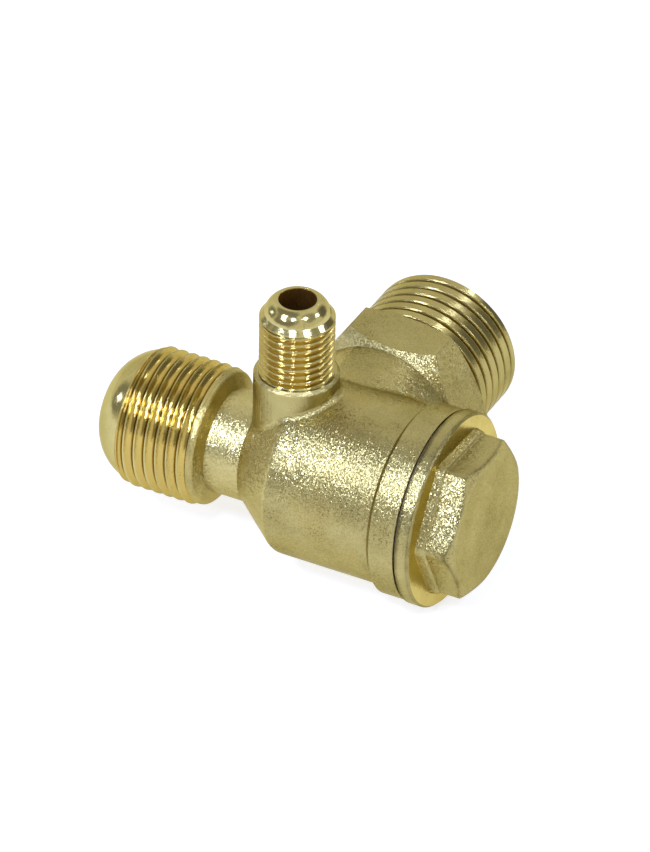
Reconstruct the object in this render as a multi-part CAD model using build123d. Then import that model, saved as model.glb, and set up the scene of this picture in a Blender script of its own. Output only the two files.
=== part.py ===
from build123d import *
import os
from math import radians, tan

# Non-return valve between a compressor's pump and its tank, in millimetres.
# X runs along the main bore, from the inlet nose to the cap.
# Y runs along the tank port and Z along the unloader port.
# The origin lies on the tank port's axis, on the shoulder where the tank thread starts.

# Tank port, with a 1/2 inch parallel pipe thread
TANK_THREAD_D = 20.955
TANK_THREAD_LENGTH = 12.1
TANK_THREAD_CHAMFER = 0.9
TANK_REACH = 22.0
TANK_BORE_D = 14.0
TANK_NECK_D = 21.0
TANK_NECK_BLEND = 3.0

# Hexagon collar that takes the spanner on the tank port
TANK_HEX_AF = 22.0
TANK_HEX_LENGTH = 7.6
TANK_HEX_TURN = 3.0
TANK_HEX_BEVEL = 43.0
TANK_HEX_END_BEVEL = 30.0
TANK_HEX_END_D = 22.2

# Inlet port, with a 3/4 inch fine thread and a rounded nose
INLET_THREAD_D = 19.05
INLET_THREAD_LENGTH = 9.7
INLET_RIM_D = 18.4
INLET_RIM_LENGTH = 1.0
INLET_RIM_FACE = 0.6
INLET_RIM_CHAMFER = 0.35
INLET_NOSE_LENGTH = 4.25
INLET_NOSE_BASE_D = 17.9
INLET_NOSE_TIP_D = 10.8
INLET_NOSE_CROWN = 7.2
INLET_BORE_D = 9.6
INLET_NECK_D = 14.3
INLET_NECK_LENGTH = 5.0
SHOULDER_LENGTH = 6.4
SHOULDER_ROUND = 1.8

# Chamber that holds the check mechanism, and the collar the cap screws into
CHAMBER_START = -3.6
CHAMBER_D = 24.3
CHAMBER_END = 11.6
COLLAR_D = 26.05
COLLAR_STEP = 0.7
BODY_FACE = 15.85
CHAMBER_BORE_D = 18.4
CHAMBER_FLOOR = -0.8
CAP_THREAD_D = 22.0
CAP_THREAD_RELIEF = 0.55

# Unloader port, with a 10 mm fine thread and a rounded nose
UNLOADER_X = -5.1
UNLOADER_THREAD_D = 10.0
UNLOADER_BORE_D = 5.1
UNLOADER_BOSS_D = 11.35
UNLOADER_BOSS_TOP = 14.7
UNLOADER_BOSS_CHAMFER = 0.4
UNLOADER_BOSS_BLEND = 0.9
UNLOADER_THREAD_END = 23.3
UNLOADER_NOSE_BASE = 23.95
UNLOADER_NOSE_BASE_D = 8.8
UNLOADER_NOSE_CROWN = 2.6
UNLOADER_TIP = 25.85
UNLOADER_TIP_D = 5.9

# Seat that the rubber disc closes
SEAT_LIP = 0.9
SEAT_LIP_D = 11.4
SEAT_ROOT_D = 13.4

# Cap, gasket and check mechanism
GASKET_THICKNESS = 0.4
GASKET_D = 25.3
CAP_FLANGE_D = 26.5
CAP_FLANGE_THICKNESS = 1.95
CAP_FLANGE_CHAMFER = 0.25
CAP_HEX_AF = 19.0
CAP_HEX_HEIGHT = 4.9
CAP_HEX_TURN = 27.0
CAP_HEX_BEVEL = 30.0
CAP_HEX_FACE_D = 18.4
CAP_HEX_FACE_ROUND = 1.5
CAP_HEX_CORNER_ROUND = 1.2
CAP_HEX_ROOT_HEIGHT = 1.25
CAP_HEX_ROOT_SLOPE = 20.0
CAP_SKIRT_LENGTH = 6.4
CAP_SKIRT_CHAMFER = 0.6
CAP_POCKET_D = 14.0
CAP_POCKET_DEPTH = 5.6
CAP_GUIDE_D = 9.2
DISC_D = 12.4
DISC_THICKNESS = 2.5
CARRIER_D = 14.0
CARRIER_RIM_DEPTH = 1.7
CARRIER_BACK = 1.8
STEM_D = 5.0
STEM_LENGTH = 8.4
STEM_CHAMFER = 0.5
LIFT = 4.0
WIRE_D = 0.9
SPRING_TURNS = 4
WIRE_SIDES = 6

# Clearances
THREAD_CLEARANCE = 0.05
STEM_CLEARANCE = 0.05
STEM_END_CLEARANCE = 0.5
LIFT_CLEARANCE = 0.1
SPRING_CLEARANCE = 0.35
GASKET_CLEARANCE = 0.15
TANK_BORE_CLEARANCE = 0.4

# How far a cutter runs past a face, and how far joined forms reach into each other
OVERRUN = 1.0

# Stations along the main axis, measured from the tank port's axis
NECK_END = CHAMBER_START - SHOULDER_LENGTH
NECK_START = NECK_END - INLET_NECK_LENGTH
RIM_END = NECK_START - INLET_RIM_FACE
RIM_START = RIM_END - INLET_RIM_LENGTH
INLET_THREAD_END = RIM_START - (INLET_THREAD_D - INLET_RIM_D) / 2
INLET_THREAD_START = INLET_THREAD_END - INLET_THREAD_LENGTH
NOSE_BASE = INLET_THREAD_START - (INLET_THREAD_D - INLET_NOSE_BASE_D) / 2
NOSE_TIP = NOSE_BASE - INLET_NOSE_LENGTH
FLANGE_BACK = BODY_FACE + GASKET_THICKNESS
FLANGE_FRONT = FLANGE_BACK + CAP_FLANGE_THICKNESS
SKIRT_END = FLANGE_BACK - CAP_SKIRT_LENGTH
CAP_THREAD_START = SKIRT_END - CAP_THREAD_RELIEF
POCKET_BOTTOM = SKIRT_END + CAP_POCKET_DEPTH
DISC_BACK = SEAT_LIP + DISC_THICKNESS
CARRIER_RIM = DISC_BACK - CARRIER_RIM_DEPTH
CARRIER_END = DISC_BACK + CARRIER_BACK
STEM_END = CARRIER_END + STEM_LENGTH
GUIDE_END = CARRIER_END + LIFT + LIFT_CLEARANCE
STEM_BORE_END = STEM_END + LIFT + STEM_END_CLEARANCE
SPRING_MEAN_D = CAP_GUIDE_D + WIRE_D + 2 * SPRING_CLEARANCE

# Stations along the tank port, measured from the main axis
HEX_START = TANK_REACH - TANK_HEX_LENGTH
TANK_END = TANK_REACH + TANK_THREAD_LENGTH
TANK_BORE_BOTTOM = CARRIER_D / 2 + TANK_BORE_CLEARANCE

# Axes of the three ports; the axis of each plane's own Z is the port's axis
MAIN = Plane(origin=(0, -TANK_REACH, 0), x_dir=(0, 0, -1), z_dir=(1, 0, 0))
TANK = Plane(origin=(0, -TANK_REACH, 0), x_dir=(1, 0, 0), z_dir=(0, 1, 0))
UNLOADER = Plane(origin=(UNLOADER_X, -TANK_REACH, 0), x_dir=(0, 1, 0), z_dir=(0, 0, 1))


def turned(axis, *lines):
    """Solid turned about an axis from an outline of (radius, distance along the axis)."""
    outline = Curve() + list(lines)
    return axis * revolve(Plane.XZ * make_face(outline), Axis.Z)


def rod(axis, diameter, start, end):
    """Plain round bar along an axis."""
    return axis * Pos(0, 0, start) * extrude(Circle(diameter / 2), end - start)


def chamber_form():
    """Chamber, which runs on inside the collar, with its shoulder, which runs on inside the neck."""
    slope = (CHAMBER_D - INLET_NECK_D) / 2 / SHOULDER_LENGTH
    tip = INLET_BORE_D / 2
    tip_station = CHAMBER_START - (CHAMBER_D / 2 - tip) / slope
    end = (CHAMBER_END + BODY_FACE) / 2
    outline = FilletPolyline(
        (0, tip_station),
        (0, end),
        (CHAMBER_D / 2, end),
        (CHAMBER_D / 2, CHAMBER_START),
        (tip, tip_station),
        (0, tip_station),
        radius=[0, 0, 0, SHOULDER_ROUND, 0],
    )
    return turned(MAIN, outline)


def collar_form():
    """Raised collar round the open end of the chamber; its step starts inside the chamber's wall."""
    step = (COLLAR_D - CHAMBER_D) / 2
    outline = Polyline(
        (0, CHAMBER_END - COLLAR_STEP),
        (CHAMBER_D / 2 - step, CHAMBER_END - COLLAR_STEP),
        (COLLAR_D / 2, CHAMBER_END + COLLAR_STEP),
        (COLLAR_D / 2, BODY_FACE),
        (0, BODY_FACE),
        close=True,
    )
    return turned(MAIN, outline)


def inlet_form():
    """Inlet port: rounded nose, plain form of the thread, rim, and neck into the shoulder."""
    nose_base = (INLET_NOSE_BASE_D / 2, NOSE_BASE)
    nose_tip = (INLET_NOSE_TIP_D / 2, NOSE_TIP)
    nose = RadiusArc(nose_base, nose_tip, INLET_NOSE_CROWN)
    rest = Polyline(
        nose_tip,
        (0, NOSE_TIP),
        (0, CHAMBER_START),
        (INLET_NECK_D / 2, CHAMBER_START),
        (INLET_NECK_D / 2, NECK_START),
        (INLET_RIM_D / 2 - INLET_RIM_CHAMFER, RIM_END),
        (INLET_RIM_D / 2, RIM_END - INLET_RIM_CHAMFER),
        (INLET_RIM_D / 2, RIM_START),
        (INLET_THREAD_D / 2, INLET_THREAD_END),
        (INLET_THREAD_D / 2, INLET_THREAD_START),
        nose_base,
    )
    return turned(MAIN, nose, rest)


def tank_hex():
    """Spanner collar: a hexagon bevelled at both ends by turned cones."""
    reach = TANK_HEX_AF
    near = HEX_START + (reach - TANK_NECK_D / 2) * tan(radians(TANK_HEX_BEVEL))
    far = TANK_REACH - (reach - TANK_HEX_END_D / 2) * tan(radians(TANK_HEX_END_BEVEL))
    bevels = turned(
        TANK,
        Polyline(
            (0, HEX_START),
            (TANK_NECK_D / 2, HEX_START),
            (reach, near),
            (reach, TANK_REACH + near),
            (0, TANK_REACH + near),
            close=True,
        ),
    )
    end = turned(
        TANK,
        Polyline(
            (0, TANK_REACH),
            (TANK_HEX_END_D / 2, TANK_REACH),
            (reach, far),
            (reach, far - TANK_REACH),
            (0, far - TANK_REACH),
            close=True,
        ),
    )
    section = RegularPolygon(TANK_HEX_AF / 2, 6, major_radius=False, rotation=TANK_HEX_TURN)
    prism = TANK * Pos(0, 0, HEX_START) * extrude(section, TANK_HEX_LENGTH)
    return prism & bevels & end


def tank_thread():
    """Plain form of the tank thread at its outside diameter."""
    tip = TANK_THREAD_D / 2 - TANK_THREAD_CHAMFER
    return turned(
        TANK,
        Polyline(
            (0, TANK_REACH - OVERRUN),
            (TANK_THREAD_D / 2, TANK_REACH - OVERRUN),
            (TANK_THREAD_D / 2, TANK_END - TANK_THREAD_CHAMFER),
            (tip, TANK_END),
            (0, TANK_END),
            close=True,
        ),
    )


def unloader_form():
    """Unloader port above the chamber: boss, plain form of the thread, and rounded nose."""
    boss = UNLOADER_BOSS_D / 2
    thread = UNLOADER_THREAD_D / 2
    nose_base = (UNLOADER_NOSE_BASE_D / 2, UNLOADER_NOSE_BASE)
    nose_tip = (UNLOADER_TIP_D / 2, UNLOADER_TIP)
    nose = RadiusArc(nose_base, nose_tip, -UNLOADER_NOSE_CROWN)
    rest = Polyline(
        nose_tip,
        (0, UNLOADER_TIP),
        (0, 0),
        (boss, 0),
        (boss, UNLOADER_BOSS_TOP - UNLOADER_BOSS_CHAMFER),
        (boss - UNLOADER_BOSS_CHAMFER, UNLOADER_BOSS_TOP),
        (thread, UNLOADER_BOSS_TOP),
        (thread, UNLOADER_THREAD_END),
        nose_base,
    )
    return turned(UNLOADER, nose, rest)


def body_bores():
    """Everything drilled and turned out of the body, with the raised seat left standing."""
    inlet = rod(MAIN, INLET_BORE_D, NOSE_TIP - OVERRUN, SEAT_LIP + OVERRUN)
    chamber = rod(MAIN, CHAMBER_BORE_D, CHAMBER_FLOOR, BODY_FACE + OVERRUN)
    thread = rod(MAIN, CAP_THREAD_D, CAP_THREAD_START, BODY_FACE + OVERRUN)
    tank = rod(TANK, TANK_BORE_D, TANK_BORE_BOTTOM, TANK_END + OVERRUN)
    unloader = rod(UNLOADER, UNLOADER_BORE_D, 0, UNLOADER_TIP + OVERRUN)
    seat = turned(
        MAIN,
        Polyline(
            (0, CHAMBER_FLOOR - OVERRUN),
            (SEAT_ROOT_D / 2, CHAMBER_FLOOR - OVERRUN),
            (SEAT_ROOT_D / 2, CHAMBER_FLOOR),
            (SEAT_LIP_D / 2, SEAT_LIP),
            (0, SEAT_LIP),
            close=True,
        ),
    )
    return chamber + thread + tank - seat + inlet + unloader


def blended(form, added, radius):
    """Two forms joined, with a rounded valley along the curve where they meet."""
    joined = form + added
    valley = joined.edges() - form.edges() - added.edges()
    return fillet(valley.filter_by(GeomType.BSPLINE), radius)


def valve_body():
    """Forged body with its three ports, blended together and drilled."""
    neck = rod(TANK, TANK_NECK_D, 0, HEX_START)
    form = blended(chamber_form(), neck, TANK_NECK_BLEND)
    form = blended(form, unloader_form(), UNLOADER_BOSS_BLEND)
    form = form + inlet_form() + collar_form() + tank_hex() + tank_thread()
    return form - body_bores()


def cap():
    """Screw plug: flange, hexagon, threaded skirt, spring pocket and stem guide."""
    skirt = CAP_THREAD_D / 2 - THREAD_CLEARANCE
    flange = CAP_FLANGE_D / 2
    round_part = turned(
        MAIN,
        Polyline(
            (0, SKIRT_END),
            (skirt - CAP_SKIRT_CHAMFER, SKIRT_END),
            (skirt, SKIRT_END + CAP_SKIRT_CHAMFER),
            (skirt, FLANGE_BACK),
            (flange, FLANGE_BACK),
            (flange, FLANGE_FRONT - CAP_FLANGE_CHAMFER),
            (flange - CAP_FLANGE_CHAMFER, FLANGE_FRONT),
            (0, FLANGE_FRONT),
            close=True,
        ),
    )
    section = RegularPolygon(CAP_HEX_AF / 2, 6, major_radius=False, rotation=CAP_HEX_TURN)
    section = fillet(section.vertices(), CAP_HEX_CORNER_ROUND)
    prism = MAIN * Pos(0, 0, FLANGE_FRONT) * extrude(section, CAP_HEX_HEIGHT)
    root_top = FLANGE_FRONT + CAP_HEX_ROOT_HEIGHT
    root = MAIN * Pos(0, 0, root_top) * extrude(section, -CAP_HEX_ROOT_HEIGHT, taper=-CAP_HEX_ROOT_SLOPE)
    end = FLANGE_FRONT + CAP_HEX_HEIGHT
    drop = (CAP_HEX_AF - CAP_HEX_FACE_D / 2) * tan(radians(CAP_HEX_BEVEL))
    bevel = turned(
        MAIN,
        FilletPolyline(
            (0, end),
            (0, FLANGE_BACK - CAP_HEX_AF),
            (CAP_HEX_AF, FLANGE_BACK - CAP_HEX_AF),
            (CAP_HEX_AF, end - drop),
            (CAP_HEX_FACE_D / 2, end),
            (0, end),
            radius=[0, 0, 0, 0, CAP_HEX_FACE_ROUND],
        ),
    )
    plug = round_part + (prism & bevel) + root
    pocket = rod(MAIN, CAP_POCKET_D, SKIRT_END - OVERRUN, POCKET_BOTTOM)
    guide = rod(MAIN, CAP_GUIDE_D, GUIDE_END, POCKET_BOTTOM + OVERRUN)
    stem_bore = STEM_D + 2 * STEM_CLEARANCE
    guide_bore = rod(MAIN, stem_bore, GUIDE_END - OVERRUN, STEM_BORE_END)
    return plug - pocket + guide - guide_bore


def cap_gasket():
    """Flat sealing ring between the body's face and the cap's flange."""
    ring = rod(MAIN, GASKET_D, BODY_FACE, FLANGE_BACK)
    return ring - rod(MAIN, CAP_THREAD_D + 2 * GASKET_CLEARANCE, BODY_FACE, FLANGE_BACK)


def poppet():
    """Carrier for the sealing disc, with the stem that slides in the cap's guide."""
    carrier = rod(MAIN, CARRIER_D, CARRIER_RIM, CARRIER_END)
    stem = rod(MAIN, STEM_D, DISC_BACK, STEM_END)
    stem = chamfer(stem.edges().sort_by(Axis.X)[-1], STEM_CHAMFER)
    return carrier + stem - rod(MAIN, DISC_D, CARRIER_RIM - OVERRUN, DISC_BACK)


def seat_disc():
    """Rubber disc in the carrier that closes on the seat's lip."""
    return rod(MAIN, DISC_D, SEAT_LIP, DISC_BACK)


def spring():
    """Compression spring with ground ends; its wire is six-sided."""
    length = POCKET_BOTTOM - CARRIER_END
    path = Helix(length / SPRING_TURNS, length, SPRING_MEAN_D / 2)
    wire = Plane(path @ 0, z_dir=path % 0) * RegularPolygon(WIRE_D / 2, WIRE_SIDES)
    coil = MAIN * Pos(0, 0, CARRIER_END) * sweep(wire, path=path, is_frenet=True)
    return coil & rod(MAIN, 2 * SPRING_MEAN_D, CARRIER_END, POCKET_BOTTOM)


os.makedirs("parts", exist_ok=True)
export_step(valve_body(), "parts/valve_body.step")
export_step(cap(), "parts/cap.step")
export_step(cap_gasket(), "parts/cap_gasket.step")
export_step(poppet(), "parts/poppet.step")
export_step(seat_disc(), "parts/seat_disc.step")
export_step(spring(), "parts/spring.step")
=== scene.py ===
from math import cos, pi, radians, sin

import bpy
import numpy as np
from mathutils import Matrix, Vector


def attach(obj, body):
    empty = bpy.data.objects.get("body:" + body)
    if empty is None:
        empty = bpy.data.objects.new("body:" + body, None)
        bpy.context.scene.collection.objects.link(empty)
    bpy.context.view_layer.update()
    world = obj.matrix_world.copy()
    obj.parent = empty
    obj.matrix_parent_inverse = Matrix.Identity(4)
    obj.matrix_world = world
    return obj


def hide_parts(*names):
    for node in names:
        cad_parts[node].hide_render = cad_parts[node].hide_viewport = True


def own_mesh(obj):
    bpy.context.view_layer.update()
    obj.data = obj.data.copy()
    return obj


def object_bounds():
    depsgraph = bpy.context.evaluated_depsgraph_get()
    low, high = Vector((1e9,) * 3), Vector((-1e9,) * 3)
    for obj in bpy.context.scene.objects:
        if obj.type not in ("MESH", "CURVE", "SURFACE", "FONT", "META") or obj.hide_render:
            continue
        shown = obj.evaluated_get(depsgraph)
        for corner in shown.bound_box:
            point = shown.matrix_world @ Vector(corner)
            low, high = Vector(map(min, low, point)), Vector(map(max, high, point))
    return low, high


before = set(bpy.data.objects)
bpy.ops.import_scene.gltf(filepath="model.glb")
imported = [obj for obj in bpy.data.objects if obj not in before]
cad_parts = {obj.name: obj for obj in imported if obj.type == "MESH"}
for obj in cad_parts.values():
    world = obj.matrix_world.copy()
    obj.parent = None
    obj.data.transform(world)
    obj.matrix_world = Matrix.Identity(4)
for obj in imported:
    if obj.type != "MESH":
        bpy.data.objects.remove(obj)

CAD_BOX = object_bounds()

# Millimetres of the drawing to metres of the scene
MM = 0.001

# Axes of the ports: a point on the axis, the axis, and two directions across it, in millimetres
MAIN_Y = -22.0
UNLOADER_X = -5.1
INLET_AXIS = ((0, MAIN_Y, 0), (1, 0, 0), (0, 1, 0), (0, 0, 1))
TANK_AXIS = ((0, MAIN_Y, 0), (0, 1, 0), (0, 0, 1), (1, 0, 0))
UNLOADER_AXIS = ((UNLOADER_X, MAIN_Y, 0), (0, 0, 1), (1, 0, 0), (0, 1, 0))

# Inlet port: distances along the main axis, and radii
NOSE_BASE, NOSE_BASE_R = -27.2, 8.95
INLET_START, INLET_END, INLET_R = -26.625, -16.925, 9.525
RIM_START, RIM_END, RIM_R, RIM_CHAMFER = -16.6, -15.6, 9.2, 0.35
RIM_DULL_FROM = -16.7
NECK_START, NECK_END, NECK_R = -15.0, -10.0, 7.15

# Chamber, collar and cap: distances along the main axis, and radii
CHAMBER_START, CHAMBER_END, CHAMBER_R = -3.6, 11.6, 12.15
COLLAR_ROOT, COLLAR_ROOT_R = 10.9, 11.275
COLLAR_START, BODY_FACE, COLLAR_R = 12.3, 15.85, 13.025
FLANGE_BACK, FLANGE_FRONT, FLANGE_R, FLANGE_CHAMFER = 16.25, 18.2, 13.25, 0.25

# Tank port: distances along its axis from the main axis, and radii
TANK_NECK_END, TANK_NECK_R = 14.4, 10.5
TANK_START, TANK_CHAMFER_START, TANK_TIP, TANK_R = 22.0, 33.2, 34.1, 10.4775

# Unloader port: distances along its axis from the main axis, and radii
BOSS_TOP, BOSS_R, BOSS_CHAMFER = 14.7, 5.675, 0.4
UNLOADER_END, UNLOADER_R = 23.3, 5.0
UNLOADER_NOSE_BASE, UNLOADER_NOSE_R = 23.95, 4.4

# Turned outlines of the threaded ports on the solid, as (distance along the axis, radius)
INLET_OUTLINE = (
    (NOSE_BASE, NOSE_BASE_R), (INLET_START, INLET_R), (INLET_END, INLET_R), (RIM_START, RIM_R),
    (RIM_END - RIM_CHAMFER, RIM_R), (RIM_END, RIM_R - RIM_CHAMFER), (NECK_START, NECK_R))
TANK_OUTLINE = (
    (TANK_START, TANK_R), (TANK_CHAMFER_START, TANK_R), (TANK_TIP, TANK_R + TANK_CHAMFER_START - TANK_TIP))
UNLOADER_OUTLINE = (
    (BOSS_TOP, UNLOADER_R), (UNLOADER_END, UNLOADER_R), (UNLOADER_NOSE_BASE, UNLOADER_NOSE_R))
PORTS = ((INLET_AXIS, INLET_OUTLINE), (TANK_AXIS, TANK_OUTLINE), (UNLOADER_AXIS, UNLOADER_OUTLINE))

# The same outline of the inlet port with its rim rounded, as it is shown
INLET_SHOWN = (
    (NOSE_BASE, NOSE_BASE_R), (INLET_START, INLET_R), (INLET_END, INLET_R), (RIM_DULL_FROM, 9.3),
    (-16.45, RIM_R), (-16.1, RIM_R), (-15.92, 9.15), (-15.76, 9.02), (-15.66, 8.84), (RIM_END, 8.62),
    (-15.12, 7.45), (-15.05, 7.26), (NECK_START, NECK_R))

# Turned outer walls whose exact normals are known, on the body and on the cap
BODY_WALLS = (
    (INLET_AXIS, (
        (NECK_START, NECK_R), (NECK_END, NECK_R), (CHAMBER_START, CHAMBER_R), (CHAMBER_END, CHAMBER_R))),
    (INLET_AXIS, ((COLLAR_ROOT, COLLAR_ROOT_R), (COLLAR_START, COLLAR_R), (BODY_FACE, COLLAR_R))),
    (TANK_AXIS, ((0.0, TANK_NECK_R), (TANK_NECK_END, TANK_NECK_R))),
    (UNLOADER_AXIS, ((0.0, BOSS_R), (BOSS_TOP - BOSS_CHAMFER, BOSS_R), (BOSS_TOP, BOSS_R - BOSS_CHAMFER))),
)
CAP_WALLS = (
    (INLET_AXIS, (
        (FLANGE_BACK, FLANGE_R), (FLANGE_FRONT - FLANGE_CHAMFER, FLANGE_R),
        (FLANGE_FRONT, FLANGE_R - FLANGE_CHAMFER))),
)

# How near a point lies to count as on a wall, and the angle from which an edge is sharp
ON_SURFACE = 0.012
SHARP = radians(17)

# Where the finishes of the body begin and end, in millimetres on the three axes
BOSS_WALL_R, BOSS_WALL_FROM = 5.72, 11.0
BOSS_RIM_R, BOSS_RIM_FROM = 5.2, 14.25
UNLOADER_NOSE_FROM = 14.0
NECK_BELOW = 10.0
NOSE_UP_TO = -15.2
INLET_BORE_R, INLET_BORE_FROM = 4.9, -31.3
UNLOADER_BORE_R, UNLOADER_BORE_TO = 2.7, 25.8
TANK_BORE_R, TANK_BORE_FROM, TANK_BORE_TO = 7.1, 6.0, 34.0
CHAMBER_BORE_R, CHAMBER_BORE_FROM = 11.05, -0.9
CHAMBER_BORE_Y, CHAMBER_BORE_Z = 9.5, 10.5

# Threads: pitch, depth, the place of one crest, the span and the fades at its ends in millimetres, half
# widths of the crest and of the ridge in pitches, and the points along and round the sleeve
INLET_THREAD = dict(
    pitch=1.5875, depth=0.62, crest_at=-26.525, span=(NOSE_BASE, -16.3), fade=(0.5, 0.5),
    crest=0.03, ridge=0.48, hollow=True, steps=220, slices=170)
TANK_THREAD = dict(
    pitch=1.814, depth=0.62, crest_at=32.74, span=(TANK_START, TANK_TIP), fade=(0.9, 0.35),
    crest=0.3, ridge=0.5, hollow=False, steps=300, slices=180)
UNLOADER_THREAD = dict(
    pitch=1.0, depth=0.6, crest_at=21.046, span=(BOSS_TOP, 23.2), fade=(0.5, 0.25),
    crest=0.04, ridge=0.48, hollow=True, steps=190, slices=110)

# Share of the flank that is straight on a thread that isn't hollow; the rest is a cosine step
STRAIGHT_FLANK = 0.45

# Hexagon of the cap: width across flats, corner radius, the first corner's angle and the points on a corner
HEX_FLATS, HEX_CORNER, HEX_CORNER_AT, HEX_CORNER_POINTS = 19.0, 1.2, radians(-3), 9

# Profile of the step at the hexagon's foot, as (distance along the main axis, overhang past the hexagon)
PLINTH = ((FLANGE_FRONT, 0.47), (19.25, 0.24), (19.4, 0.02), (19.5, 0.0))

# Spring: its ends on the main axis, the helix's and the wire's radius, its turns, the rate at which its ends
# climb beside the middle's rate of 1.35, the share of the wire that is closed at each end, and its points
SPRING_START, SPRING_END = 5.2, 15.45
SPRING_R, WIRE_R = 5.4, 0.45
SPRING_TURNS = 5.6
CLOSED_RATE, CLOSED_SHARE = 0.35, 0.12
SPRING_STEPS, WIRE_POINTS = 420, 14

# Least length that is divided by
TINY = 1e-12


# Meshes

def grid_faces(rows, columns):
    """Quads of a grid of rows by columns that closes its last column onto its first."""
    i = np.arange(rows - 1)[:, None]
    j = np.arange(columns)[None, :]
    k = (j + 1) % columns
    quads = np.stack([i * columns + j, i * columns + k, (i + 1) * columns + k, (i + 1) * columns + j], -1)
    return quads.reshape(-1, 4)


def smooth_mesh(name, points, faces, materials):
    """Smooth-shaded mesh from an array of points in millimetres and a list of faces."""
    mesh = bpy.data.meshes.new(name)
    mesh.from_pydata((points * MM).tolist(), [], faces)
    mesh.polygons.foreach_set("use_smooth", np.ones(len(faces), bool))
    for material in materials:
        mesh.materials.append(material)
    mesh.update()
    return mesh


def place_piece(mesh):
    """Object of a mesh, with the mesh's name, that rides on the valve and has a material slot."""
    piece = bpy.data.objects.new(mesh.name, mesh)
    bpy.context.scene.collection.objects.link(piece)
    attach(piece, "valve")
    return piece


def on_axis(axis, along, radius, angle):
    """Points at a distance along an axis, a radius from it and an angle round it, as one array."""
    origin, direction, first, second = (np.array(v, float) for v in axis)
    across = np.cos(angle)[..., None] * first + np.sin(angle)[..., None] * second
    return origin + along[..., None] * direction + radius[..., None] * across


# Node helpers

def empty_tree(owner):
    """Node tree of a new material or world, without its first nodes."""
    owner.use_nodes = True
    owner.node_tree.nodes.clear()
    return owner.node_tree


def new_material(name):
    """Node material with only an output and a Principled shader."""
    material = bpy.data.materials.new(name)
    tree = empty_tree(material)
    out = tree.nodes.new("ShaderNodeOutputMaterial")
    shader = tree.nodes.new("ShaderNodeBsdfPrincipled")
    tree.links.new(shader.outputs[0], out.inputs[0])
    return material, tree, shader, out


def new_group(name, inputs, outputs):
    """Node group with value inputs at their defaults, outputs of the given kinds, and its two end nodes."""
    group = bpy.data.node_groups.new(name, "ShaderNodeTree")
    for key, value in inputs.items():
        group.interface.new_socket(key, in_out="INPUT", socket_type="NodeSocketFloat").default_value = value
    for key, kind in outputs.items():
        group.interface.new_socket(key, in_out="OUTPUT", socket_type=kind)
    return group, group.nodes.new("NodeGroupInput"), group.nodes.new("NodeGroupOutput")


def use_group(tree, group, **values):
    """Places a node group with its own values."""
    node = tree.nodes.new("ShaderNodeGroup")
    node.node_tree = group
    for key, value in values.items():
        node.inputs[key].default_value = value
    return node


def add(tree, kind, links=None, **settings):
    """Adds a node; settings are its properties, and links map its input sockets to values or outputs."""
    node = tree.nodes.new(kind)
    for key, value in settings.items():
        setattr(node, key, value)
    for key, value in (links or {}).items():
        if isinstance(value, bpy.types.NodeSocket):
            tree.links.new(value, node.inputs[key])
        else:
            node.inputs[key].default_value = value
    return node


def worked_out(tree, operation, first, second):
    """Value worked out from two others."""
    return add(tree, "ShaderNodeMath", {0: first, 1: second}, operation=operation).outputs[0]


def ramp_between(tree, value, low, high, out_low=0.0, out_high=1.0):
    """Value taken from one range to another, clamped."""
    return add(tree, "ShaderNodeMapRange", {0: value, 1: low, 2: high, 3: out_low, 4: out_high}).outputs[0]


def mixed(tree, factor, first, second):
    """Colour mixed from two by a factor."""
    return add(tree, "ShaderNodeMix", {0: factor, 6: first, 7: second}, data_type="RGBA").outputs[2]


def noise_at(tree, scale, detail, roughness=0.5):
    """Value of a noise pattern on the piece's own coordinates, with its scale in waves per metre."""
    where = add(tree, "ShaderNodeTexCoord").outputs["Object"]
    links = {"Vector": where, "Scale": scale, "Detail": detail, "Roughness": roughness}
    return add(tree, "ShaderNodeTexNoise", links).outputs[0]


# Grain, dirt and painted shade that the finishes share

# Reach of a broken edge, of the painted shade in a corner and of a dark line along an edge
EDGE_BREAK = 0.22 * MM
CREASE_REACH = 0.7 * MM
EDGE_LINE = 0.6 * MM

# Rays for the broken edges, for the painted shade in corners and for the dark line along edges
EDGE_RAYS, SHADE_AND_EDGE_RAYS = 2, 3

# Noise of the specks, the clouds and the tarnish: scale, detail and roughness
SPECK_NOISE = (4200.0, 2.0, 0.6)
CLOUD_NOISE = (170.0, 4.0, 0.55)
TARNISH_NOISE = (115.0, 5.0, 0.65)

# Ranges in which each mask goes from none to full: of the noise, of the open space above or behind a point, of
# a facet's own value and of a groove's depth
SPECK_RANGE = (0.58, 0.66)
PATCH_RANGE = (0.48, 0.62)
CLOUD_RANGE = (0.36, 0.68)
TARNISH_RANGE = (0.47, 0.66)
CREASE_RANGE = (0.62, 0.30)
EDGE_RANGE = (0.975, 0.85)
FACET_RANGE = (0.62, 0.72)
VALLEY_RANGE = (0.1, 0.4)

# Range of the clouds in which the dark line along an edge grows to full, and the least that it has
BROKEN_RANGE = (0.1, 0.7)
BROKEN_LEAST = 0.5


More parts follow.
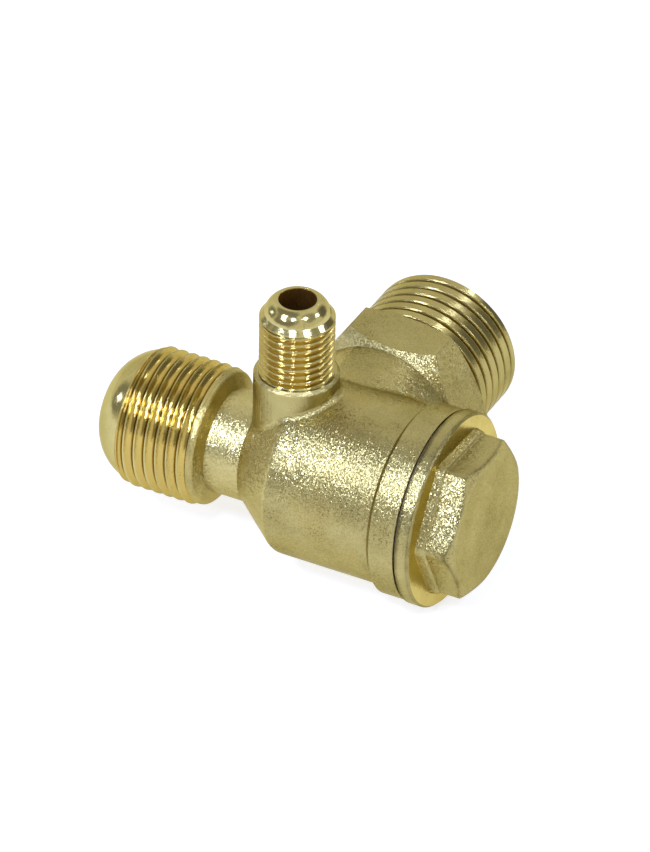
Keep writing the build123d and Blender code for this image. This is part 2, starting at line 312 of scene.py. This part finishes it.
def blasted_grain():
    """Group: random facets of a shot-blasted skin, as a normal and a value of each facet's own.

    Each cell of a cell pattern leans the normal by its own random colour, so that single facets catch the
    light. The normal itself turns softly over the edges, as if they were broken by hand.
    """
    outputs = {"Normal": "NodeSocketVector", "Facet": "NodeSocketFloat"}
    group, inside, outside = new_group("blasted_grain", {"Scale": 4000.0, "Lean": 0.4}, outputs)
    where = add(group, "ShaderNodeTexCoord").outputs["Object"]
    cells = add(group, "ShaderNodeTexVoronoi", {"Vector": where, "Scale": inside.outputs["Scale"]})
    colour = cells.outputs["Color"]
    centred = add(group, "ShaderNodeVectorMath", {0: colour, 1: (0.5, 0.5, 0.5)}, operation="SUBTRACT")
    sized = {0: centred.outputs[0], "Scale": inside.outputs["Lean"]}
    lean = add(group, "ShaderNodeVectorMath", sized, operation="SCALE")
    normal = add(group, "ShaderNodeBevel", {"Radius": EDGE_BREAK}, samples=EDGE_RAYS).outputs["Normal"]
    total = add(group, "ShaderNodeVectorMath", {0: normal, 1: lean.outputs[0]}, operation="ADD")
    unit = add(group, "ShaderNodeVectorMath", {0: total.outputs[0]}, operation="NORMALIZE")
    group.links.new(unit.outputs[0], outside.inputs["Normal"])
    split = add(group, "ShaderNodeSeparateColor", {0: colour})
    group.links.new(split.outputs[0], outside.inputs["Facet"])
    return group


def grime_and_shade():
    """Group, as masks: dark specks, soft clouds of handling, warm tarnish patches, painted shade in corners.
    """
    masks = ("Specks", "Clouds", "Tarnish", "CreaseShade")
    group, inside, outside = new_group("grime_and_shade", {"Amount": 0.5}, {mask: "NodeSocketFloat" for mask in masks})
    fine = noise_at(group, *SPECK_NOISE)
    wide = noise_at(group, *CLOUD_NOISE)
    broad = noise_at(group, *TARNISH_NOISE)
    specks = ramp_between(group, fine, *SPECK_RANGE)
    patches = ramp_between(group, wide, *PATCH_RANGE)
    both = worked_out(group, "MULTIPLY", specks, patches)
    group.links.new(worked_out(group, "MULTIPLY", both, inside.outputs["Amount"]), outside.inputs["Specks"])
    group.links.new(ramp_between(group, wide, *CLOUD_RANGE), outside.inputs["Clouds"])
    group.links.new(ramp_between(group, broad, *TARNISH_RANGE), outside.inputs["Tarnish"])
    # Painted shade: this mask grows where the open space above a point is small, in corners and grooves
    above = add(group, "ShaderNodeAmbientOcclusion", {"Distance": CREASE_REACH}, samples=SHADE_AND_EDGE_RAYS)
    group.links.new(ramp_between(group, above.outputs["AO"], *CREASE_RANGE), outside.inputs["CreaseShade"])
    return group


GRAIN = blasted_grain()
GRIME_AND_SHADE = grime_and_shade()


# Finishes

KHAKI = (0.445, 0.38, 0.155, 1)
OLIVE = (0.365, 0.305, 0.112, 1)
# Painted light: paler shades for the neck, standing in for the wide highlight on it
LIT_KHAKI = (0.58, 0.50, 0.215, 1)
LIT_DEEP_KHAKI = (0.48, 0.405, 0.155, 1)
GOLD = (0.56, 0.45, 0.155, 1)
PALE_GOLD = (0.68, 0.555, 0.195, 1)
TURNED = (0.52, 0.45, 0.185, 1)
DEEP_TURNED = (0.45, 0.38, 0.145, 1)
# Painted bounce light in thread valleys: deeper and more saturated than the turned brass
VALLEY_BOUNCE_GOLD = (0.51, 0.375, 0.10, 1)
VALLEY_BOUNCE_OLIVE = (0.36, 0.27, 0.075, 1)
WORN_GOLD = (0.46, 0.385, 0.145, 1)
BORE_AMBER = (0.52, 0.31, 0.07, 1)
DEEP_AMBER = (0.42, 0.25, 0.05, 1)
TARNISH = (0.43, 0.345, 0.12, 1)
SHADED_FACET = (0.15, 0.12, 0.035, 1)
DIRT = (0.10, 0.085, 0.04, 1)
# Brown of the painted shade in corners and grooves, and of the dark line along the outer edges
SHADE_AND_EDGE_BROWN = (0.085, 0.065, 0.022, 1)
GRAZING_TINT = (0.72, 0.66, 0.44, 1)
FIBRE_BROWN = (0.26, 0.19, 0.08, 1)
RUBBER_BLACK = (0.02, 0.02, 0.02, 1)
STEEL_GREY = (0.55, 0.55, 0.55, 1)

# Facets per metre of the blasted skins, and the roughness of the forging and of the cap
BLAST = 7600.0
FORGED_ROUGH = (0.27, 0.36)
CAP_ROUGH = (0.26, 0.35)

# Plain finishes: detail of the noise, brightness that the colour drifts down to, and strength of the bump
PLAIN_DETAIL, PLAIN_DRIFT, PLAIN_BUMP = 3.0, 0.72, 0.4


def brass(name, light, dark, roughness, grain, lean, specks, facet_shade=0.0, crease_shade=1.0, edge_darkening=0.0,
          valley=None, tarnish=0.0):
    """Brass that drifts between two shades, with a facet grain, specks of dirt and painted shade in corners.

    Where it is asked for, single facets are painted shaded, warm tarnish lies in patches, a thin broken dark
    line lies along the outer edges, and thread valleys get a painted deeper colour of bounced light.
    """
    material, tree, shader, _ = new_material(name)
    soil_and_shade = use_group(tree, GRIME_AND_SHADE, Amount=specks).outputs
    facets = use_group(tree, GRAIN, Scale=grain, Lean=lean).outputs
    colour = mixed(tree, soil_and_shade["Clouds"], light, dark)
    warm = ramp_between(tree, soil_and_shade["Tarnish"], 0.0, 1.0, 0.0, tarnish)
    colour = mixed(tree, warm, colour, TARNISH)
    shaded = ramp_between(tree, facets["Facet"], *FACET_RANGE, 0.0, facet_shade)
    colour = mixed(tree, shaded, colour, SHADED_FACET)
    # Painted bounce light: thread valleys take a deeper, more saturated colour by the groove's depth
    if valley:
        deep = add(tree, "ShaderNodeAttribute", attribute_name="groove").outputs["Fac"]
        colour = mixed(tree, ramp_between(tree, deep, *VALLEY_RANGE), colour, valley)
    colour = mixed(tree, soil_and_shade["Specks"], colour, DIRT)
    # Painted shade: where the open space above a point is small, the colour is darkened toward brown
    corners = ramp_between(tree, soil_and_shade["CreaseShade"], 0.0, 1.0, 0.0, crease_shade)
    colour = mixed(tree, corners, colour, SHADE_AND_EDGE_BROWN)
    # A thin broken dark line along the outer edges, where the open space behind a point is small
    if edge_darkening:
        reach = {"Distance": EDGE_LINE}
        behind = add(tree, "ShaderNodeAmbientOcclusion", reach, samples=SHADE_AND_EDGE_RAYS, inside=True)
        edge = ramp_between(tree, behind.outputs["AO"], *EDGE_RANGE, 0.0, edge_darkening)
        broken = ramp_between(tree, soil_and_shade["Clouds"], *BROKEN_RANGE, BROKEN_LEAST, 1.0)
        colour = mixed(tree, worked_out(tree, "MULTIPLY", edge, broken), colour, SHADE_AND_EDGE_BROWN)
    tree.links.new(colour, shader.inputs["Base Color"])
    tree.links.new(ramp_between(tree, soil_and_shade["Clouds"], 0.0, 1.0, *roughness), shader.inputs["Roughness"])
    tree.links.new(facets["Normal"], shader.inputs["Normal"])
    shader.inputs["Metallic"].default_value = 1.0
    shader.inputs["Specular Tint"].default_value = GRAZING_TINT
    return material


def plain(name, colour, roughness, metallic, scale, relief):
    """Finish for the pieces that hardly show: one colour that drifts a little, with a fine bump."""
    material, tree, shader, _ = new_material(name)
    noise = noise_at(tree, scale, PLAIN_DETAIL)
    darker = tuple(PLAIN_DRIFT * c for c in colour[:3]) + (1.0,)
    tree.links.new(mixed(tree, noise, colour, darker), shader.inputs["Base Color"])
    bump = add(tree, "ShaderNodeBump", {"Height": noise, "Distance": relief, "Strength": PLAIN_BUMP})
    tree.links.new(bump.outputs[0], shader.inputs["Normal"])
    shader.inputs["Roughness"].default_value = roughness
    shader.inputs["Metallic"].default_value = metallic
    return material


forged = brass(
    "forged_brass", KHAKI, OLIVE, FORGED_ROUGH, grain=BLAST, lean=0.40, specks=0.9, facet_shade=0.28,
    tarnish=0.75)
# Painted light: a paler copy of the forged brass for the neck, for the wide highlight on it
lit_neck = brass(
    "lit_neck_brass", LIT_KHAKI, LIT_DEEP_KHAKI, FORGED_ROUGH, grain=BLAST, lean=0.40, specks=0.6, facet_shade=0.2,
    tarnish=0.4)
smooth = brass("machined_brass", KHAKI, OLIVE, (0.26, 0.32), grain=9000.0, lean=0.12, specks=0.5, tarnish=0.6)
capped = brass(
    "cap_brass", KHAKI, OLIVE, CAP_ROUGH, grain=BLAST, lean=0.36, specks=1.0, facet_shade=0.2, crease_shade=0.15,
    edge_darkening=0.95, tarnish=0.3)
stepped = brass(
    "plinth_brass", KHAKI, OLIVE, CAP_ROUGH, grain=BLAST, lean=0.36, specks=0.7, facet_shade=0.2, crease_shade=0.0)
flanged = brass("flange_brass", PALE_GOLD, GOLD, (0.22, 0.3), grain=8000.0, lean=0.10, specks=0.7, crease_shade=0.1)
bright = brass(
    "turned_brass", TURNED, DEEP_TURNED, (0.12, 0.19), grain=9000.0, lean=0.05, specks=0.4, crease_shade=0.4,
    valley=VALLEY_BOUNCE_GOLD)
worn = brass(
    "worn_brass", WORN_GOLD, OLIVE, (0.18, 0.26), grain=8000.0, lean=0.08, specks=0.5, crease_shade=0.7,
    valley=VALLEY_BOUNCE_OLIVE)
rimmed = brass(
    "rim_brass", GOLD, OLIVE, (0.3, 0.4), grain=8000.0, lean=0.36, specks=0.8, facet_shade=0.15, crease_shade=0.1)
bore = brass("bored_brass", BORE_AMBER, DEEP_AMBER, (0.35, 0.45), grain=6000.0, lean=0.2, specks=0.4)
gasket = plain("gasket_fibre", FIBRE_BROWN, roughness=0.7, metallic=0.0, scale=2500.0, relief=0.05 * MM)
rubber = plain("seal_rubber", RUBBER_BLACK, roughness=0.55, metallic=0.0, scale=1800.0, relief=0.04 * MM)
steel = plain("spring_steel", STEEL_GREY, roughness=0.28, metallic=1.0, scale=2500.0, relief=0.02 * MM)

# Finishes of the body, by their numbers in its mesh
BODY_FINISHES = (forged, smooth, bright, bore, lit_neck)
FORGED, MACHINED, BRIGHT, BORED, LIT_NECK = range(len(BODY_FINISHES))


# Body and cap, shown again with smooth shading

def along_and_radius(points, axis):
    """Distance along an axis and radius from it, for an array of points in millimetres."""
    origin, direction = np.array(axis[0], float), np.array(axis[1], float)
    along = (points - origin) @ direction
    across = points - origin - along[:, None] * direction
    return along, np.linalg.norm(across, axis=1)


def on_outline(points, axis, outline):
    """Which points lie on a turned outline."""
    along, radius = along_and_radius(points, axis)
    stations, radii = np.array(outline, float).T
    near = np.abs(radius - np.interp(along, stations, radii)) < ON_SURFACE
    return near & (along > stations[0] - ON_SURFACE) & (along < stations[-1] + ON_SURFACE)


def run_normals(points, axis, start, end):
    """Points on one straight run of a turned outline, and the run's own normal there.

    In the plane of distance and radius the normal is the run's direction turned by a quarter; round the axis
    it turns with the point.
    """
    origin, direction = np.array(axis[0], float), np.array(axis[1], float)
    along, radius = along_and_radius(points, axis)
    across = (points - origin - along[:, None] * direction) / np.maximum(radius, TINY)[:, None]
    step = np.array(end, float) - np.array(start, float)
    length = np.linalg.norm(step)
    n_along, n_across = -step[1] / length, step[0] / length
    off = (along - start[0]) * n_along + (radius - start[1]) * n_across
    run = ((along - start[0]) * step[0] + (radius - start[1]) * step[1]) / length
    on = (np.abs(off) < ON_SURFACE) & (run > -ON_SURFACE) & (run < length + ON_SURFACE)
    return on, n_along * direction + n_across * across


def merged_solid(node):
    """Points in millimetres and triangles of a node's solid, with equal points merged."""
    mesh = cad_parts[node].data
    points = np.empty(len(mesh.vertices) * 3)
    mesh.vertices.foreach_get("co", points)
    corners = np.empty(len(mesh.loops), int)
    mesh.loops.foreach_get("vertex_index", corners)
    keys = np.round(points.reshape(-1, 3) / MM, 3)
    merged, where = np.unique(keys, axis=0, return_inverse=True)
    triangles = where.reshape(-1)[corners].reshape(-1, 3)
    a, b, c = triangles.T
    return merged, triangles[(a != b) & (b != c) & (c != a)]


def face_normals(points, triangles):
    """Unit normals of triangles."""
    a, b, c = (points[triangles[:, i]] for i in range(3))
    normal = np.cross(b - a, c - a)
    return normal / np.maximum(np.linalg.norm(normal, axis=1), TINY)[:, None]


def shown_solid(name, node, points, triangles, walls, finish, materials):
    """Solid shown with smooth shading: exact normals on its turned walls, averaged ones on the rest."""
    mesh = smooth_mesh(name, points, triangles.tolist(), materials)
    mesh.polygons.foreach_set("material_index", finish)
    mesh.set_sharp_from_angle(angle=SHARP)
    normals = np.empty(len(mesh.loops) * 3)
    mesh.corner_normals.foreach_get("vector", normals)
    normals = normals.reshape(-1, 3)
    corners = triangles.reshape(-1)
    flat = np.repeat(face_normals(points, triangles), 3, axis=0)
    best = np.full(len(corners), cos(SHARP))
    for axis, outline in walls:
        for start, end in zip(outline, outline[1:]):
            on, exact = run_normals(points, axis, start, end)
            fit = np.where(on[corners], (exact[corners] * flat).sum(1), -1.0)
            better = fit > best
            normals[better] = exact[corners][better]
            best = np.where(better, fit, best)
    mesh.normals_split_custom_set(normals.tolist())
    piece = place_piece(mesh)
    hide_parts(node)


def body_skin():
    """Body without the plain faces that stand for its threads, with a finish for each of its regions."""
    points, triangles = merged_solid("valve_body")
    threads = np.zeros(len(triangles), bool)
    for axis, outline in PORTS:
        threads |= on_outline(points, axis, outline)[triangles].all(1)
    triangles = triangles[~threads]
    centre = points[triangles].mean(1)
    x, main_r = along_and_radius(centre, INLET_AXIS)
    y, tank_r = along_and_radius(centre, TANK_AXIS)
    z, small_r = along_and_radius(centre, UNLOADER_AXIS)
    finish = np.full(len(triangles), FORGED)
    finish[(small_r < BOSS_WALL_R) & (z > BOSS_WALL_FROM)] = MACHINED
    finish[(small_r > BOSS_RIM_R) & (z > BOSS_RIM_FROM)] = FORGED
    # Painted light: the neck takes the paler copy of the forged brass
    finish[(x < CHAMBER_START) & (z < NECK_BELOW)] = LIT_NECK
    finish[x < NOSE_UP_TO] = BRIGHT
    finish[(small_r < BOSS_RIM_R) & (z > UNLOADER_NOSE_FROM)] = BRIGHT
    finish[(main_r < INLET_BORE_R) & (x > INLET_BORE_FROM)] = BORED
    finish[(small_r < UNLOADER_BORE_R) & (z > 0) & (z < UNLOADER_BORE_TO)] = BORED
    finish[(tank_r < TANK_BORE_R) & (y > TANK_BORE_FROM) & (y < TANK_BORE_TO)] = BORED
    chamber = (main_r < CHAMBER_BORE_R) & (x > CHAMBER_BORE_FROM)
    finish[chamber & (y < CHAMBER_BORE_Y) & (z < CHAMBER_BORE_Z)] = BORED
    shown_solid(
        "body_skin", "valve_body", points, triangles, BODY_WALLS, finish, BODY_FINISHES)


def cap_skin():
    """Cap with its blasted finish, and with the golden turned front of its flange."""
    points, triangles = merged_solid("cap")
    front = np.abs(points[triangles][:, :, 0] - FLANGE_FRONT).max(1) < ON_SURFACE
    shown_solid(
        "cap_skin", "cap", points, triangles, CAP_WALLS, front.astype(int), (capped, flanged))


def hexagon_plinth():
    """Low step round the foot of the cap's hexagon.

    P(t, k) = c(t) + (r + d) n(t) at the distance x along the main axis: c is the centre of the nearest
    rounded corner, r its radius, n the direction across the hexagon's side, and (x, d) runs along the step's
    profile.
    """
    corner = HEX_CORNER_AT + np.arange(6) * pi / 3
    across = (corner[:, None] + np.linspace(-pi / 6, pi / 6, HEX_CORNER_POINTS)).reshape(-1)
    centre = np.repeat(corner, HEX_CORNER_POINTS)
    reach = (HEX_FLATS / 2 - HEX_CORNER) / cos(pi / 6)
    points, faces = [], []
    for run in zip(PLINTH, PLINTH[1:]):
        x, d = (np.array(v)[:, None] for v in zip(*run))
        y = MAIN_Y + reach * np.cos(centre) + (HEX_CORNER + d) * np.cos(across)
        z = reach * np.sin(centre) + (HEX_CORNER + d) * np.sin(across)
        faces.append(grid_faces(2, len(across)) + len(points) * 2 * len(across))
        points.append(np.stack([np.broadcast_to(x, y.shape), y, z], -1).reshape(-1, 3))
    mesh = smooth_mesh("cap_plinth", np.concatenate(points), np.concatenate(faces).tolist(), (stepped,))
    place_piece(mesh)


# Threads of the three ports

def thread_height(phase, crest, ridge, hollow):
    """Height of a thread over one pitch, 1 on the crest and 0 in the root.

    With u the distance from the crest's middle in pitches, t runs from 0 at the crest's edge to 1 at the
    ridge's foot. On a hollow thread the height falls as (1 - t) squared, to a wide round valley; on the
    others part of the fall is straight, and a cosine step rounds both ends of it.
    """
    u = np.abs((phase + 0.5) % 1.0 - 0.5)
    t = np.clip((u - crest) / (ridge - crest), 0.0, 1.0)
    if hollow:
        return (1.0 - t) ** 2
    return 1.0 - (STRAIGHT_FLANK * t + (1.0 - STRAIGHT_FLANK) * (0.5 - 0.5 * np.cos(pi * t)))


def threaded_sleeve(name, axis, outline, material, pitch, depth, crest_at, span, fade, crest, ridge, hollow,
                    steps, slices, dull=None, dull_from=np.inf):
    """Outside of a threaded port.

    Radius r(s, a) = min(e(s), m - d f(s) (1 - h((s - s0) / p - a / 2 pi))): e is the turned outline, m its
    largest radius, d the depth, f a fade to nothing over the fade lengths at both ends of the thread's span,
    h the thread's height, s0 the place of one crest and p the pitch. From the station dull_from on, the piece
    has the dull finish.
    """
    stations, radii = np.array(outline, float).T
    along = np.linspace(stations[0], stations[-1], steps)
    along = np.unique(np.concatenate([along, stations]))
    angle = np.linspace(0, 2 * pi, slices, endpoint=False)
    s, a = np.meshgrid(along, angle, indexing="ij")
    envelope = np.interp(s, stations, radii)
    ramp = np.clip((s - span[0]) / fade[0], 0, 1) * np.clip((span[1] - s) / fade[1], 0, 1)
    height = thread_height((s - crest_at) / pitch - a / (2 * pi), crest, ridge, hollow)
    groove = ramp * (1 - height)
    radius = np.minimum(envelope, radii.max() - depth * groove)
    points = on_axis(axis, s, radius, a).reshape(-1, 3)
    mesh = smooth_mesh(name, points, grid_faces(len(along), slices).tolist(), (material,))
    mark = mesh.attributes.new("groove", "FLOAT", "POINT")
    mark.data.foreach_set("value", groove.reshape(-1))
    if dull:
        mesh.materials.append(dull)
        plain_end = np.repeat(along[:-1] >= dull_from, slices)
        mesh.polygons.foreach_set("material_index", plain_end.astype(int))
    place_piece(mesh)


# Spring inside the cap

def spring_coil():
    """Compression spring: a circle carried along a helix that climbs slowly at both closed ends.

    With u from 0 to 1, the angle is 2 pi n u, and the height is the running sum of a rate that is small at
    the ends and full in the middle.
    """
    u = np.linspace(0, 1, SPRING_STEPS)
    rate = CLOSED_RATE + np.clip(np.minimum(u, 1 - u) / CLOSED_SHARE - 1.0, 0, 1)
    climb = np.concatenate([[0], np.cumsum((rate[1:] + rate[:-1]) / 2)])
    height = SPRING_START + WIRE_R + (SPRING_END - SPRING_START - 2 * WIRE_R) * climb / climb[-1]
    ring = np.linspace(0, 2 * pi, WIRE_POINTS, endpoint=False)
    turn, r = np.meshgrid(2 * pi * SPRING_TURNS * u, ring, indexing="ij")
    along = height[:, None] + WIRE_R * np.sin(r)
    points = on_axis(INLET_AXIS, along, SPRING_R + WIRE_R * np.cos(r), turn).reshape(-1, 3)
    first_end = list(range(WIRE_POINTS))[::-1]
    last_end = list(range(len(points) - WIRE_POINTS, len(points)))
    faces = grid_faces(SPRING_STEPS, WIRE_POINTS).tolist() + [first_end, last_end]
    piece = place_piece(smooth_mesh("spring_coil", points, faces, (steel,)))
    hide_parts("spring")
    return piece


body_skin()
cap_skin()
hexagon_plinth()
threaded_sleeve(
    "inlet_thread", INLET_AXIS, INLET_SHOWN, bright, **INLET_THREAD, dull=rimmed, dull_from=RIM_DULL_FROM)
threaded_sleeve("tank_thread", TANK_AXIS, TANK_OUTLINE, worn, **TANK_THREAD)
threaded_sleeve("unloader_thread", UNLOADER_AXIS, UNLOADER_OUTLINE, bright, **UNLOADER_THREAD)

# Finishes of the nodes that are shown as they are
for node_name, node_finish in (("cap_gasket", gasket), ("poppet", bright), ("seat_disc", rubber)):
    node_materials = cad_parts[node_name].data.materials
    node_materials.clear()
    node_materials.append(node_finish)

spring = spring_coil()
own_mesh(spring)


# Camera

# Where it stands and how it is turned, in millimetres and degrees, and the pixels per unit of depth
IMAGE_W, IMAGE_H = 650, 852
VIEW_AZIMUTH, VIEW_ELEVATION, VIEW_ROLL = 26.802, 35.707, 0.988
VIEW_DISTANCE = 1524.5
FOCAL_PX = 11648.5
AIM_PX = (329.8, 471.5)
SENSOR = 36.0
CLIP_NEAR, CLIP_FAR = 0.05, 20.0


def aim_camera():
    """Camera at the photograph's angle: the crossing of the main and tank axes falls on its own pixel."""
    a, e, r = radians(VIEW_AZIMUTH), radians(VIEW_ELEVATION), radians(VIEW_ROLL)
    right = Vector((cos(a), sin(a), 0))
    back = Vector((sin(a) * cos(e), -cos(a) * cos(e), sin(e)))
    up = back.cross(right)
    right, up = right * cos(r) + up * sin(r), up * cos(r) - right * sin(r)
    side = (AIM_PX[0] - IMAGE_W / 2) / FOCAL_PX * VIEW_DISTANCE
    lift = (IMAGE_H / 2 - AIM_PX[1]) / FOCAL_PX * VIEW_DISTANCE
    place = Vector((0, MAIN_Y, 0)) + back * VIEW_DISTANCE - right * side - up * lift
    camera = bpy.data.objects.new("camera", bpy.data.cameras.new("camera"))
    camera.data.sensor_width = SENSOR
    camera.data.lens = FOCAL_PX * SENSOR / IMAGE_H
    camera.data.clip_start = CLIP_NEAR
    camera.data.clip_end = CLIP_FAR
    turn = Matrix((right, up, back)).transposed().to_4x4()
    camera.matrix_world = Matrix.Translation(place * MM) @ turn
    bpy.context.scene.collection.objects.link(camera)
    bpy.context.scene.camera = camera


# Floor, backdrop and light

WHITE = (1, 1, 1, 1)
WORLD_GREY, WORLD_STRENGTH = (0.9, 0.92, 0.95, 1), 0.5
STAGE_CENTRE = Vector((0, MAIN_Y * MM, 0))
SQUARE_CORNERS = ((-1, -1), (1, -1), (1, 1), (-1, 1))

# Floor: how far it lies under the part and reaches to each side in metres, its grey, roughness and glow
FLOOR_DROP, FLOOR_REACH = 0.0002, 3.0
FLOOR_SHADE, FLOOR_ROUGH, FLOOR_GLOW = 0.45, 0.9, 0.72

# Lamps: name, direction from the part, size in metres and power in watts
LEFT = (-0.94, -0.16, 0.30)
LAMP_COLOUR = (0.85, 0.98, 1.55)
LAMP_DISTANCE = 0.6
LAMPS = (
    ("high_lamp", (-0.366, -0.530, 0.762), 0.07, 0.85),
    ("low_lamp", (-0.366, -0.741, 0.563), 0.07, 0.85),
    ("top_lamp", (0.107, -0.655, 0.738), 0.07, 0.85),
    ("side_lamp", (0.57, -0.30, 0.76), 0.07, 0.75),
    ("right_lamp", (0.75, 0.30, 0.59), 0.06, 0.35),
    ("back_lamp", (0.148, 0.725, 0.671), 0.04, 0.09),
    ("left_lamp", LEFT, 0.06, 0.14),
)

# Screens: name, direction from the part, distance and half width in metres, and brightness in the middle
SCREENS = (
    ("front_screen", (-0.366, -0.643, 0.672), 0.9, 1.25, 0.32),
    ("left_screen", LEFT, 0.9, 0.42, 0.35),
    ("side_screen", (0.68, -0.12, 0.72), 0.9, 0.5, 0.4),
    ("back_screen", (0.62, 0.68, 0.38), 0.9, 0.45, 0.2),
    ("back_wall", (-0.3, 0.75, 0.6), 1.0, 0.9, 0.9),
)
SCREEN_FADE_FROM = 0.55


def white_to_the_eye(tree, seen, lit):
    """Shader that is one thing to camera, glossy and transmitted rays, and another to the rest."""
    path = add(tree, "ShaderNodeLightPath").outputs
    eye = worked_out(tree, "MAXIMUM", path["Is Camera Ray"], path["Is Glossy Ray"])
    eye = worked_out(tree, "MAXIMUM", eye, path["Is Transmission Ray"])
    return add(tree, "ShaderNodeMixShader", {0: eye, 1: lit, 2: seen}).outputs[0]


def white_world():
    """World that is white where it is seen and a soft grey where it only lights."""
    world = bpy.data.worlds.new("studio")
    tree = empty_tree(world)
    seen = add(tree, "ShaderNodeBackground", {0: WHITE, 1: 1.0})
    lit = add(tree, "ShaderNodeBackground", {0: WORLD_GREY, 1: WORLD_STRENGTH})
    add(tree, "ShaderNodeOutputWorld", {0: white_to_the_eye(tree, seen.outputs[0], lit.outputs[0])})
    bpy.context.scene.world = world


def square(name, corners, material):
    """Flat stage piece with four corners, outside the part."""
    mesh = bpy.data.meshes.new(name)
    mesh.from_pydata(corners, [], [(0, 1, 2, 3)])
    mesh.materials.append(material)
    thing = bpy.data.objects.new(name, mesh)
    bpy.context.scene.collection.objects.link(thing)
    return thing


def pale_floor():
    """Wide pale floor under the part; it is white to the eye and keeps the part's shadow."""
    material, tree, shader, out = new_material("floor")
    shader.inputs["Base Color"].default_value = (FLOOR_SHADE,) * 3 + (1,)
    shader.inputs["Roughness"].default_value = FLOOR_ROUGH
    glow = add(tree, "ShaderNodeEmission", {0: WHITE, 1: FLOOR_GLOW})
    both = add(tree, "ShaderNodeAddShader", {0: shader.outputs[0], 1: glow.outputs[0]})
    tree.links.new(white_to_the_eye(tree, both.outputs[0], shader.outputs[0]), out.inputs[0])
    low = CAD_BOX[0][2] - FLOOR_DROP
    square("floor", [(x * FLOOR_REACH, y * FLOOR_REACH, low) for x, y in SQUARE_CORNERS], material)


def toward(direction, distance):
    """Matrix of something that stands at a distance from the part in a direction and faces it."""
    d = Vector(direction).normalized()
    place = STAGE_CENTRE + d * distance
    return Matrix.Translation(place) @ d.to_track_quat("Z", "Y").to_matrix().to_4x4()


def softbox(name, direction, size, power):
    """Square area lamp that faces the part and isn't itself in the picture."""
    lamp = bpy.data.lights.new(name, "AREA")
    lamp.size = size
    lamp.energy = power
    lamp.color = LAMP_COLOUR
    thing = bpy.data.objects.new(name, lamp)
    thing.matrix_world = toward(direction, LAMP_DISTANCE)
    thing.visible_camera = False
    bpy.context.scene.collection.objects.link(thing)


def dark_screen(name, direction, distance, radius, dark):
    """Screen beside the set that only shows in reflections.

    It glows faintly in its middle, and from a share of its half width on it fades into the white around it.
    """
    place = toward(direction, distance)
    material = bpy.data.materials.new(name)
    tree = empty_tree(material)
    where = add(tree, "ShaderNodeTexCoord").outputs["Object"]
    away = add(tree, "ShaderNodeVectorMath", {0: where, 1: place.translation}, operation="DISTANCE")
    span = {0: away.outputs["Value"], 1: SCREEN_FADE_FROM * radius, 2: radius, 3: dark, 4: 1.0}
    fade = add(tree, "ShaderNodeMapRange", span, interpolation_type="SMOOTHSTEP")
    glow = add(tree, "ShaderNodeEmission", {0: WHITE, 1: fade.outputs[0]})
    add(tree, "ShaderNodeOutputMaterial", {0: glow.outputs[0]})
    corners = [place @ Vector((x * radius, y * radius, 0)) for x, y in SQUARE_CORNERS]
    screen = square(name, corners, material)
    screen.visible_camera = False
    screen.visible_diffuse = False
    screen.visible_shadow = False


aim_camera()
white_world()
pale_floor()
for lamp in LAMPS:
    softbox(*lamp)
for screen in SCREENS:
    dark_screen(*screen)

bpy.context.scene.view_settings.view_transform = "Standard"
